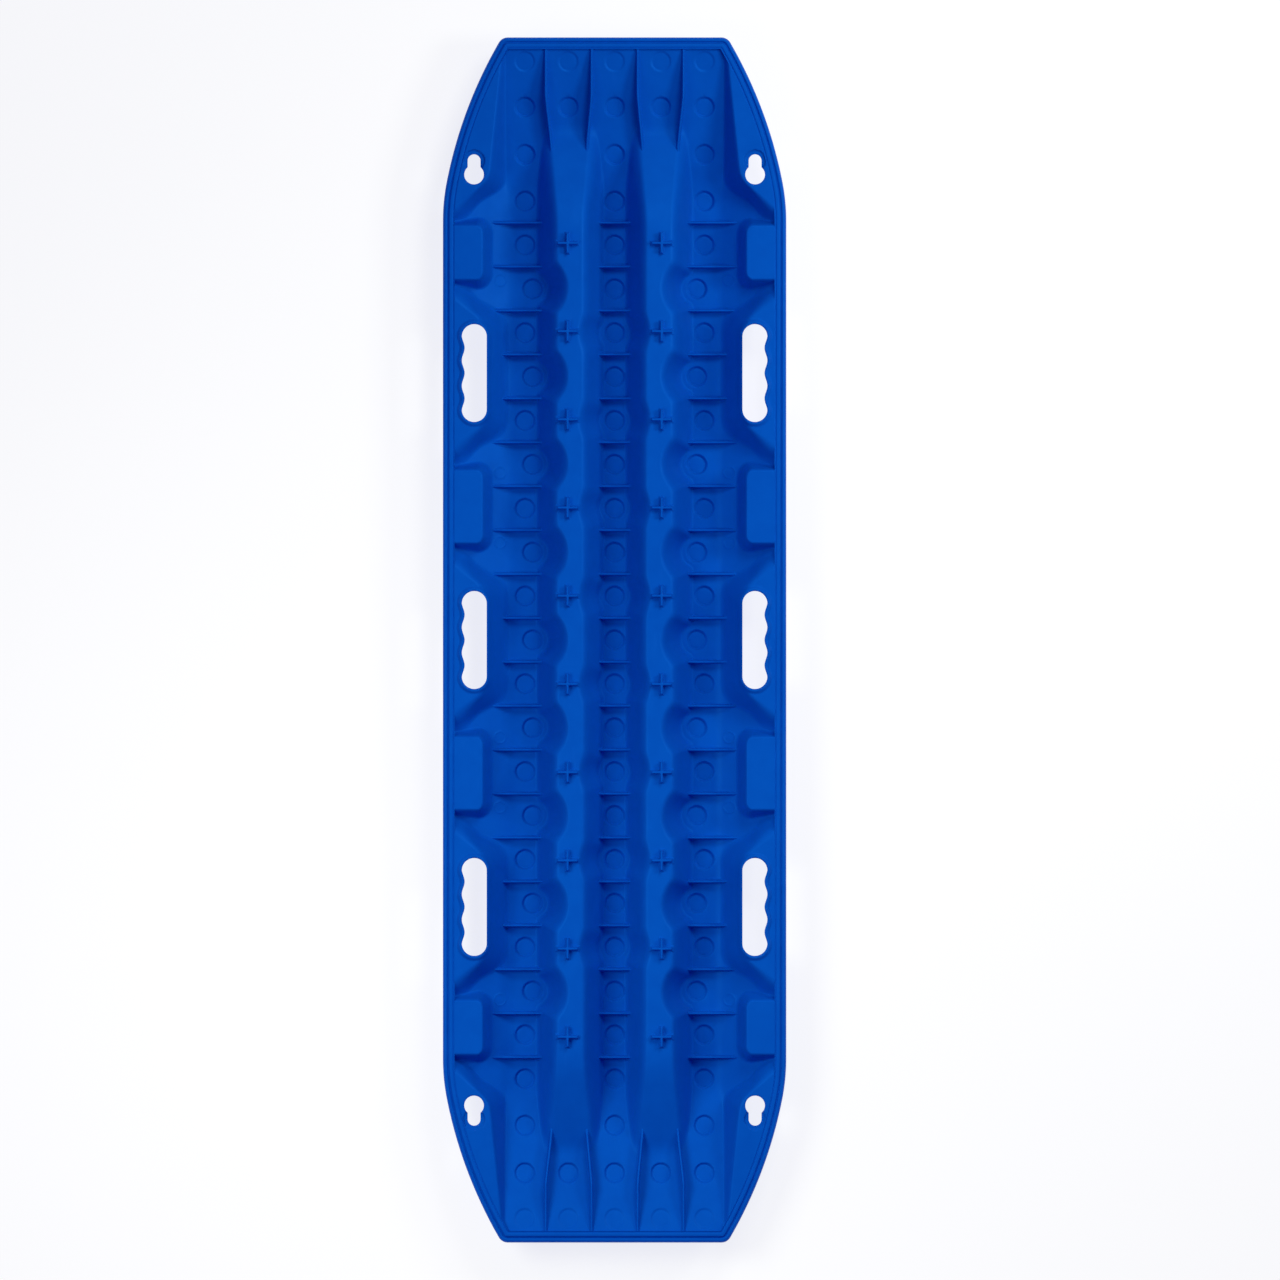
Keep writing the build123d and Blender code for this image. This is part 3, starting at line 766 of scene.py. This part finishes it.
# ---- sections swept into closed meshes
def cap_triangles(loop):
    """Triangles that close a flat loop of points."""
    wanted = {tuple(sorted((i, (i + 1) % len(loop)))) for i in range(len(loop))}
    result = delaunay_2d_cdt([Vector(p) for p in loop], list(wanted), [], 1, 1e-7)
    points, triangles = np.array([tuple(p) for p in result[0]]), np.array(result[2])
    keep = inside(points[triangles].mean(1), np.asarray(loop, float))
    origin = [source[0] for source in result[3]]
    return np.array(origin)[triangles[keep]]


def tube(rings, plan):
    """A closed mesh through rings of points; the plan is the flat shape of its end caps."""
    stations, sides = rings.shape[:2]
    i, j = np.meshgrid(np.arange(stations - 1), np.arange(sides), indexing="ij")
    k = (j + 1) % sides
    a, b = i * sides + j, i * sides + k
    c, d = (i + 1) * sides + k, (i + 1) * sides + j
    walls = np.concatenate([np.stack([a, b, c], -1).reshape(-1, 3), np.stack([a, c, d], -1).reshape(-1, 3)])
    cap = cap_triangles(plan)
    flat = np.asarray(plan, float)
    same_turn = shoelace(flat) * shoelace(flat[cap[0]]) > 0
    cap = cap if same_turn else cap[:, ::-1]
    faces = [walls, cap[:, ::-1], cap + (stations - 1) * sides]
    return rings.reshape(-1, 3), np.concatenate(faces)


def shoelace(loop):
    """Signed area of a flat loop."""
    x, y = loop[:, 0], loop[:, 1]
    return 0.5 * float(np.sum(x * np.roll(y, -1) - np.roll(x, -1) * y))


def joined(parts):
    """Several meshes in one pair of arrays."""
    points, faces, start = [], [], 0
    for part_points, part_faces in parts:
        points.append(part_points)
        faces.append(part_faces + start)
        start += len(part_points)
    return np.concatenate(points), np.concatenate(faces)


def both_ways(arrays, axis):
    """A plain mesh together with its mirror image."""
    return joined([arrays, mirrored(arrays, axis)])


CREASE_ANGLE = radians(32.0)


def add_solid(node, arrays):
    """A plain closed mesh that stands for one CAD node."""
    piece = add_mesh(f"{node}_piece", *arrays)
    work = bmesh.new()
    work.from_mesh(piece.data)
    bmesh.ops.remove_doubles(work, verts=work.verts, dist=2e-6)
    bmesh.ops.dissolve_degenerate(work, edges=work.edges, dist=1e-6)
    bmesh.ops.recalc_face_normals(work, faces=work.faces)
    work.to_mesh(piece.data)
    work.free()
    for polygon in piece.data.polygons:
        polygon.use_smooth = True
    piece.data.set_sharp_from_angle(angle=CREASE_ANGLE)
    return finish_piece(piece, node)


# ---- thin webs: cross ribs and fins
WEB_FOOT = ((-2.6, -0.9), (-1.9, 0.1), (-1.25, 1.2))
WEB_TOP = ((-0.9, -0.75), (-0.72, -0.25), (-0.35, 0.0))
WEB_LEAST_RISE = 1.2
WEB_CAP_LEVEL = 11.0


def web(stations, tops):
    """A thin drafted web along a line of (x, y, direction) stations, with a fillet at its foot."""
    rings = []
    for (x, y, (ax, ay)), top in zip(stations, tops):
        here, side = np.array([x, y]), np.array([-ay, ax])
        halves = []
        for sign in (1, -1):
            half = []
            for offset, lift in WEB_FOOT:
                px, py = here + sign * offset * side
                ground = float(ground_face(np.array([px]), np.array([py]))[0])
                half.append((px, py, min(ground + lift, top - WEB_LEAST_RISE)))
            for offset, drop in WEB_TOP:
                px, py = here + sign * offset * side
                half.append((px, py, top + drop))
            halves.append(half)
        rings.append(halves[0] + halves[1][::-1])
    plan = list(WEB_FOOT) + [(offset, WEB_CAP_LEVEL + drop) for offset, drop in WEB_TOP]
    plan += [(-offset, level) for offset, level in reversed(plan)]
    return tube(np.array(rings), plan)


RIB_TOP = node_span("cross_ribs_centre", 2)[1]
RIB_STATIONS = [(number + 0.5) * PITCH for number in range(ROWS)]
RIB_STEP = 1.5
RIB_BURIAL = 2.0
CHANNEL_REACH = 70.0


def cross_rib(station, low, high):
    """One cross rib between two places where the walls have risen past its top."""
    columns = np.linspace(low, high, max(8, round((high - low) / RIB_STEP)))
    stations = [(float(x), station, (1.0, 0.0)) for x in columns]
    return web(stations, [RIB_TOP] * len(stations))


def wall_reach(station, start, direction):
    """How far across the board a rib runs before the wall is well above it."""
    steps = start + direction * np.arange(0.0, CHANNEL_REACH, 0.25)
    heights = ground_face(steps, np.full_like(steps, station))
    return float(steps[int(np.argmax(heights > RIB_TOP + RIB_BURIAL))])


def rib_set(column):
    """Every cross rib of one channel."""
    ribs = []
    for station in RIB_STATIONS:
        low, high = wall_reach(station, column, -1), wall_reach(station, column, 1)
        ribs.append(cross_rib(station, low, high))
    return both_ways(joined(ribs), 1)


FIN_PLANS = ((20.4, 24.8), (61.0, 55.8))
FIN_BEND = 481.0
FIN_EASE = FIN_BEND + 8.0
FIN_START = 432.0
FIN_TOP = RIM_TOP - 1.0
FIN_LOW_TOP = 33.0
FIN_FALL = (FIN_TOP - FIN_LOW_TOP) / (FIN_BEND - FIN_START)


def fin(straight, leaning):
    """One ramp fin: straight by the rim, then leaning towards its ridge and falling away."""
    stations, tops = [], []
    for y in np.linspace(RAMP_END + 0.5, FIN_START, 40):
        past_bend = max(0.0, FIN_BEND - y)
        linear = past_bend / (FIN_BEND - FIN_START)
        blend = float(ease(FIN_EASE - y, 0.0, FIN_EASE - FIN_START))
        x = straight + (leaning - straight) * (0.6 * linear + 0.4 * blend)
        stations.append((x, float(y), (0.0, -1.0)))
        tops.append(float(FIN_TOP - past_bend * FIN_FALL))
    return web(stations, tops)


def fin_set():
    """The four fins of the front ramp."""
    return both_ways(joined([fin(*plan) for plan in FIN_PLANS]), 0)


# ---- cleats
CLEAT_COLUMN = 41.6
CLEAT_HALF_SPAN = 9.0
CLEAT_HALF_ARM = 1.15
CLEAT_CORNER = 0.7


def plus_loop(half_span, half_arm):
    """The outline of a plus with rounded corners."""
    s, a = half_span, half_arm
    corners = [(a, a), (s, a), (s, -a), (a, -a), (a, -s), (-a, -s)]
    corners += [(-a, -a), (-s, -a), (-s, a), (-a, a), (-a, s), (a, s)]
    corners = corners[::-1]
    points = []
    for index, here in enumerate(corners):
        before, after = np.array(corners[index - 1]), np.array(corners[(index + 1) % len(corners)])
        here = np.array(here, float)
        back, ahead = np.hypot(*(before - here)), np.hypot(*(after - here))
        cut = min(CLEAT_CORNER, 0.45 * min(back, ahead))
        start = here + (before - here) / back * cut
        end = here + (after - here) / ahead * cut
        for t in (0.0, 0.33, 0.67, 1.0):
            points.append((1 - t) ** 2 * start + 2 * t * (1 - t) * here + t * t * end)
    return np.array(points)


# Layers of a cleat as (height over the ridge, growth of the plus)
CLEAT_LAYERS = ((-0.8, 2.0), (0.0, 1.5), (0.5, 0.7), (1.3, 0.3), (5.1, -0.1), (5.7, -0.3), (6.0, -0.65))


def cleat(column, station):
    """One plus-shaped cleat, drafted, with a fillet at its foot."""
    rings = []
    for height, grow in CLEAT_LAYERS:
        loop = plus_loop(CLEAT_HALF_SPAN + grow, CLEAT_HALF_ARM + grow)
        level = np.full(len(loop), RIDGE_TOP + height)
        rings.append(np.column_stack([loop[:, 0] + column, loop[:, 1] + station, level]))
    return tube(np.array(rings), plus_loop(CLEAT_HALF_SPAN, CLEAT_HALF_ARM))


def cleat_set():
    """Every cleat of the right ridge."""
    return both_ways(joined([cleat(CLEAT_COLUMN, station) for station in row_stations(1, 2, 9)]), 1)


# ---- studs
STUD_SIDES = 40


def lathe(profile):
    """A turned shape about the vertical axis from (radius, height) pairs."""
    angles = np.linspace(0, 2 * pi, STUD_SIDES, endpoint=False)
    circle = np.column_stack([np.cos(angles), np.sin(angles)])
    rings = [np.column_stack([circle * radius, np.full(STUD_SIDES, height)]) for radius, height in profile]
    return tube(np.array(rings), circle)


# Profiles of the studs as (radius, height over the tip)
CHANNEL_STUD = ((3.0, 0.35), (3.5, 0.0), (6.6, 0.0), (7.2, 0.25), (7.6, 0.9))
CHANNEL_STUD += ((10.6, 6.9), (11.4, 7.7), (12.6, 8.05), (12.6, 8.8))
RAMP_STUD = ((2.6, 0.3), (3.0, 0.0), (5.2, 0.0), (5.8, 0.25), (6.1, 0.8))
RAMP_STUD += ((8.4, 4.1), (9.0, 4.8), (9.9, 5.1), (9.9, 5.8))
RAMP_STUD_FOOT = 5.1


def stud_set(column, stations):
    """The channel studs of one column, at both ends of the board."""
    points, faces = lathe(CHANNEL_STUD)
    both_ends = sorted({sign * station for station in stations for sign in (-1, 1)})
    return joined([(points + np.array([column, station, 0.0]), faces) for station in both_ends])


def ramp_stud_set():
    """The smaller studs of the front ramp, square to its tyre face."""
    points, faces = lathe(RAMP_STUD)
    angle = np.arctan(RAMP_RISE)
    turn = np.array([[1, 0, 0], [0, cos(angle), -sin(angle)], [0, sin(angle), cos(angle)]])
    tilted = (points - np.array([0.0, 0.0, RAMP_STUD_FOOT])) @ turn.T
    studs = []
    for station, columns in zip(RAMP_ROWS, RAMP_COLUMNS):
        level = FLOOR - SKIN + (station - RAMP_START) * RAMP_RISE
        middle, *outer = columns
        for column in [middle] + [sign * x for x in outer for sign in (1, -1)]:
            studs.append((tilted + np.array([column, station, level]), faces))
    return joined(studs)


# ---- rim
EDGE_BEAD = 3.2
OUTER_GROOVE = {"place": 4.6, "width": 0.9}
OUTER_GROOVE_DEPTH = 1.9
INNER_GROOVE = {"place": 9.3, "width": 0.6}
INNER_GROOVE_DEPTH = 0.85
BEAD_DROP = 0.5
SKIRT = 12.0


def rim_section():
    """The rim's section as (inset, height): a top with a bead and two grooves, a skirt and an inner web."""
    width = HALF_WIDTH - BAND_EDGE
    under, foot = RIM_TOP - PLATE, RIM_TOP - SKIRT
    top = []
    for inset in np.linspace(width, 0.0, 48):
        bead = EDGE_BEAD - sqrt(max(EDGE_BEAD ** 2 - max(0.0, EDGE_BEAD - inset) ** 2, 0.0))
        groove = OUTER_GROOVE_DEPTH * bell(inset, **OUTER_GROOVE)
        groove += INNER_GROOVE_DEPTH * bell(inset, **INNER_GROOVE)
        drop = BEAD_DROP * float(fade(inset, 4.0, 5.0))
        top.append((float(inset), float(RIM_TOP - bead - groove - drop)))
    outer = [(0.0, height) for height in np.linspace(RIM_TOP - 4.2, foot + 0.6, 7)]
    skirt = [(0.2, foot + 0.15), (0.6, foot), (2.3, foot), (2.75, foot + 0.15), (2.9, foot + 0.6)]
    flat = [(3.1, under - 1.4), (3.4, under - 0.4), (4.2, under), (width - 4.2, under)]
    web_foot = TRAY_TOP - SKIN
    inner_web = [(width - 3.4, under - 0.4), (width - 3.1, under - 1.2), (width - 2.9, web_foot + 0.5)]
    inner_web += [(width - 2.5, web_foot), (width - 0.2, web_foot), (width, web_foot + 0.5)]
    return top + outer + skirt + flat + inner_web


def rim_rings(frames):
    """The rim's section at every frame along a stretch of the outline."""
    lines = []
    for inset, height in rim_section():
        loop = inset_points(frames, inset)
        lines.append(np.column_stack([loop, np.full(len(loop), height)]))
    return np.stack(lines, 1)


def rim_side_set():
    """The right rim, straight from one taper to the other."""
    stations = np.linspace(-STRAIGHT_END, STRAIGHT_END, 60)
    rings = rim_rings([(np.array([HALF_WIDTH, y]), 0.0, STRAIGHT) for y in stations])
    return tube(rings, rim_section())


def rim_end_set():
    """The front rim, round both tapers and across the end."""
    right = rim_rings(outline_frames())
    left = right[-2::-1] * np.array([-1.0, 1.0, 1.0])
    return tube(np.concatenate([right, left]), rim_section())


# ---- material
DEEP_BLUE = (0.0010, 0.094, 0.560, 1)
SPECK_BLUE = (0.0010, 0.090, 0.546, 1)
CLEAR_BLUE = (0.0014, 0.110, 0.612, 1)
SCUFF_BLUE = (0.008, 0.145, 0.700, 1.0)
HIGHLIGHT_TINT = (0.02, 0.30, 1.0, 1.0)
BLACK, WHITE = (0, 0, 0, 1), (1, 1, 1, 1)


def plastic_material():
    """Satin blue moulded plastic with mould grain, faint flow streaks and soft scuffs."""
    material = bpy.data.materials.new("board_plastic")
    material.use_nodes = True
    nodes, links = material.node_tree.nodes, material.node_tree.links
    shader = nodes["Principled BSDF"]
    shader.inputs["IOR"].default_value = 1.49
    shader.inputs["Specular IOR Level"].default_value = 0.32
    shader.inputs["Specular Tint"].default_value = HIGHLIGHT_TINT
    place = nodes.new("ShaderNodeTexCoord")

    def noise(scale, detail, stretch=(1, 1, 1)):
        """Procedural noise, stretched along the board where asked."""
        mapping = nodes.new("ShaderNodeMapping")
        mapping.inputs["Scale"].default_value = stretch
        links.new(place.outputs["Object"], mapping.inputs["Vector"])
        texture = nodes.new("ShaderNodeTexNoise")
        texture.inputs["Scale"].default_value = scale
        texture.inputs["Detail"].default_value = detail
        links.new(mapping.outputs["Vector"], texture.inputs["Vector"])
        return texture.outputs["Fac"]

    def ramp(source, stops):
        """Colours spread over a value."""
        node = nodes.new("ShaderNodeValToRGB")
        while len(node.color_ramp.elements) < len(stops):
            node.color_ramp.elements.new(0.5)
        for element, (position, colour) in zip(node.color_ramp.elements, stops):
            element.position = position
            element.color = colour
        links.new(source, node.inputs["Fac"])
        return node.outputs["Color"]

    def mix(factor, a, b):
        """Two colours, or sockets, mixed by a number or a socket."""
        node = nodes.new("ShaderNodeMix")
        node.data_type = "RGBA"
        if isinstance(factor, float):
            node.inputs["Factor"].default_value = factor
        else:
            links.new(factor, node.inputs["Factor"])
        for socket, value in (("A", a), ("B", b)):
            target = [item for item in node.inputs if item.name == socket and item.type == "RGBA"][0]
            if isinstance(value, tuple):
                target.default_value = value
            else:
                links.new(value, target)
        return [item for item in node.outputs if item.type == "RGBA"][0]

    colour = ramp(noise(5.0, 3.0, (1.6, 0.5, 1.0)), [(0.3, DEEP_BLUE), (0.7, CLEAR_BLUE)])
    speck = ramp(noise(70.0, 4.0), [(0.35, SPECK_BLUE), (0.65, CLEAR_BLUE)])
    colour = mix(0.35, colour, speck)
    scuffs = ramp(noise(160.0, 6.0, (1.0, 0.18, 1.0)), [(0.62, BLACK), (0.72, WHITE)])
    faint = nodes.new("ShaderNodeMath")
    faint.operation = "MULTIPLY"
    faint.inputs[1].default_value = 0.12
    links.new(scuffs, faint.inputs[0])
    colour = mix(faint.outputs[0], colour, SCUFF_BLUE)
    links.new(colour, shader.inputs["Base Color"])

    patches = noise(38.0, 5.0)
    roughness = nodes.new("ShaderNodeMapRange")
    for socket, value in {"From Min": 0.3, "From Max": 0.7, "To Min": 0.36, "To Max": 0.50}.items():
        roughness.inputs[socket].default_value = value
    links.new(patches, roughness.inputs["Value"])
    links.new(roughness.outputs["Result"], shader.inputs["Roughness"])

    grain = nodes.new("ShaderNodeBump")
    grain.inputs["Strength"].default_value = 0.10
    grain.inputs["Distance"].default_value = 0.0003
    links.new(noise(1400.0, 2.0), grain.inputs["Height"])
    waves = nodes.new("ShaderNodeBump")
    waves.inputs["Strength"].default_value = 0.12
    waves.inputs["Distance"].default_value = 0.002
    links.new(noise(30.0, 2.0, (1.0, 0.5, 1.0)), waves.inputs["Height"])
    links.new(grain.outputs["Normal"], waves.inputs["Normal"])
    links.new(waves.outputs["Normal"], shader.inputs["Normal"])
    return material


PLASTIC = plastic_material()


# ---- build
def add_mirrored_pair(pattern, arrays):
    """A right-hand skin and its mirror image on the left."""
    add_skin(pattern.format(side="right"), arrays)
    add_skin(pattern.format(side="left"), mirrored(arrays, 0))


def rim_closing(station, reach):
    """The stretch of a handle's or pad's plan that runs down the rim."""
    return line((BAND_EDGE, station + reach), (BAND_EDGE, station - reach))


def build_skins():
    """Every piece that is cut from the two shared faces."""
    add_mirrored_pair("ridge_{side}", skin_arrays(ridge_loop()))
    add_skin("centre_channel", skin_arrays(centre_loop()))
    add_mirrored_pair("side_channel_{side}", skin_arrays(side_channel_loop()))
    ramp = skin_arrays(ramp_loop())
    add_skin("ramp_front", ramp)
    add_skin("ramp_rear", mirrored(ramp, 1))
    middle = handle_seam(0.0) + rim_closing(0.0, HANDLE_SEAM[-1][1])
    handle = skin_arrays(middle, [hand_hole_loop()])
    for place, station in HANDLE_STATIONS.items():
        add_mirrored_pair("handle_{side}_" + place, moved(handle, station))
    for size, (station, half_length) in PADS.items():
        pad = skin_arrays(pad_seam(station, half_length) + rim_closing(station, half_length + PAD_SEAM_RIM))
        add_mirrored_pair(size + "_pad_{side}_front", pad)
        add_mirrored_pair(size + "_pad_{side}_rear", mirrored(pad, 1))
    plate = skin_arrays(keyhole_plate_loop(), [keyhole_loop()])
    add_mirrored_pair("keyhole_plate_{side}_front", plate)
    add_mirrored_pair("keyhole_plate_{side}_rear", mirrored(plate, 1))


def build_solids():
    """Ribs, fins, cleats, studs and the rim."""
    add_solid("cross_ribs_centre", rib_set(0.0))
    add_solid("studs_centre", stud_set(0.0, row_stations(0, 1, ROWS)))
    right = {
        "cross_ribs": rib_set(SIDE_COLUMN),
        "cleats": cleat_set(),
        "studs": joined([stud_set(SIDE_COLUMN, SIDE_PLAIN), stud_set(SWELL_COLUMN, SIDE_SWELLS)]),
        "rim": rim_side_set(),
    }
    for name, arrays in right.items():
        add_solid(f"{name}_right", arrays)
        add_solid(f"{name}_left", mirrored(arrays, 0))
    front = {"ramp_fins": fin_set(), "ramp_studs": ramp_stud_set(), "rim": rim_end_set()}
    for name, arrays in front.items():
        add_solid(f"{name}_front", arrays)
        add_solid(f"{name}_rear", mirrored(arrays, 1))


build_skins()
build_solids()

# ---- camera
PICTURE_WIDTH = 1.1328
CAMERA_DISTANCE = 9.0
CAMERA_ASIDE = 0.0225
SENSOR = 36.0
CLIP_END = 1000.0


def place_camera():
    """A far camera that looks straight down on the board."""
    data = bpy.data.cameras.new("camera")
    data.sensor_width = SENSOR
    data.lens = SENSOR * CAMERA_DISTANCE / PICTURE_WIDTH
    data.clip_end = CLIP_END
    camera = bpy.data.objects.new("camera", data)
    camera.location = (CAMERA_ASIDE, 0.0, RIM_TOP * MM + CAMERA_DISTANCE)
    bpy.context.scene.collection.objects.link(camera)
    bpy.context.scene.camera = camera


place_camera()

# ---- floor and backdrop
FLOOR_REACH = 200.0
BACKDROP_RADIUS = 30.0
BACKDROP_HEIGHT = 30.0
BACKDROP_SIDES = 96


def paper_material():
    """Plain white paper that glows a little, so that it stays pale away from the lamps."""
    material = bpy.data.materials.new("floor")
    material.use_nodes = True
    shader = material.node_tree.nodes["Principled BSDF"]
    shader.inputs["Base Color"].default_value = (0.30, 0.30, 0.30, 1)
    shader.inputs["Emission Color"].default_value = WHITE
    shader.inputs["Emission Strength"].default_value = 0.80
    shader.inputs["Roughness"].default_value = 0.9
    shader.inputs["Specular IOR Level"].default_value = 0.0
    return material


PAPER = paper_material()


def paper_sheet(name, points, faces):
    """An object of white paper, in metres."""
    mesh = bpy.data.meshes.new(name)
    mesh.from_pydata(points, [], faces)
    mesh.materials.append(PAPER)
    sheet = bpy.data.objects.new(name, mesh)
    bpy.context.scene.collection.objects.link(sheet)
    return sheet


def floor_sheet():
    """A wide flat floor under the studs."""
    corners = [(x * FLOOR_REACH, y * FLOOR_REACH, 0) for x, y in ((-1, -1), (1, -1), (1, 1), (-1, 1))]
    return paper_sheet("floor", corners, [(0, 1, 2, 3)])


def backdrop_ring():
    """A pale wall far round the board: only the camera sees it, and only in low views."""
    radius, count = BACKDROP_RADIUS, BACKDROP_SIDES
    angles = np.linspace(0, 2 * pi, count + 1)[:-1]
    around = [(radius * cos(angle), radius * sin(angle)) for angle in angles]
    points = [(x, y, z) for z in (-1.0, BACKDROP_HEIGHT) for x, y in around]
    faces = [(i, (i + 1) % count, (i + 1) % count + count, i + count) for i in range(count)]
    ring = paper_sheet("backdrop", points, faces)
    ring.visible_diffuse = False
    ring.visible_glossy = False
    ring.visible_transmission = False
    ring.visible_shadow = False
    return ring


floor = floor_sheet()
backdrop = backdrop_ring()

# ---- light
SKY_COLOUR = (0.38, 0.41, 1.0, 1)
SKY_STRENGTH = 0.27
LAMP_COLOUR = (1.0, 1.0, 0.83)


def soft_sky():
    """An even bluish light from all round."""
    world = bpy.data.worlds.new("world")
    world.use_nodes = True
    background = world.node_tree.nodes["Background"]
    background.inputs["Color"].default_value = SKY_COLOUR
    background.inputs["Strength"].default_value = SKY_STRENGTH
    bpy.context.scene.world = world
    bpy.context.scene.view_settings.view_transform = "Standard"


def area_light(name, place, aim, size, power, spread=180.0):
    """A soft square lamp, whose beam is narrowed to its spread in degrees."""
    data = bpy.data.lights.new(name, "AREA")
    data.size = size
    data.spread = radians(spread)
    data.energy = power
    data.color = LAMP_COLOUR
    lamp = bpy.data.objects.new(name, data)
    lamp.location = place
    lamp.rotation_euler = (Vector(aim) - Vector(place)).to_track_quat("-Z", "Y").to_euler()
    lamp.visible_camera = False
    bpy.context.scene.collection.objects.link(lamp)


soft_sky()
area_light("key", (0.50, 1.10, 1.50), (0, 0, 0), size=0.55, power=10.2)
area_light("side", (1.20, 0.45, 1.15), (-0.05, 0.30, 0), size=0.40, power=3.5, spread=120)
area_light("fill", (-0.70, -0.10, 1.20), (0.05, -0.55, 0), size=0.55, power=2.2, spread=90)
